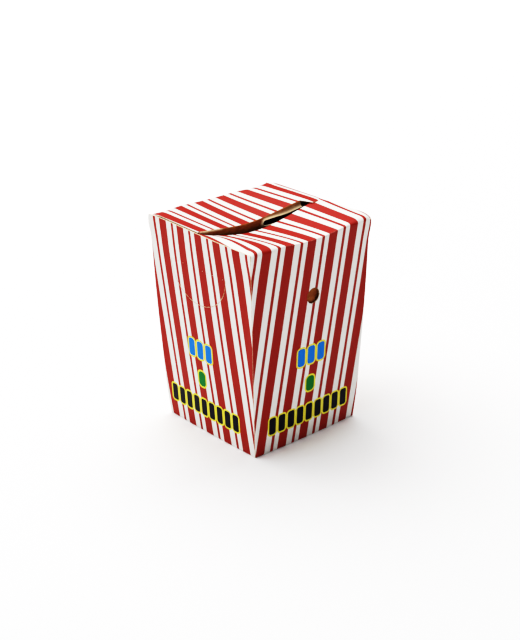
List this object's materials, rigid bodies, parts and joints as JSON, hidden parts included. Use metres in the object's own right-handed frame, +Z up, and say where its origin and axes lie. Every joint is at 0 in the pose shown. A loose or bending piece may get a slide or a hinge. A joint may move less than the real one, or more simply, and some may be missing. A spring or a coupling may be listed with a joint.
{
  "type": "chip box",
  "caption": "Small tapered folding-board takeaway chip box, red and white slanting stripes, two top flaps closed with a tongue, round steam vent.",
  "frame": {"origin": "middle of the base's underside", "axes": "+Z up, from the narrow base to the wide top; -Y is out of the front wall, the one with the round vent"},
  "size_m": [0.078, 0.078, 0.111],
  "materials": {
    "printed_board": "satin"
  },
  "bodies": {
    "root": {"carton": "printed_board"}
  },
  "joints": []
}
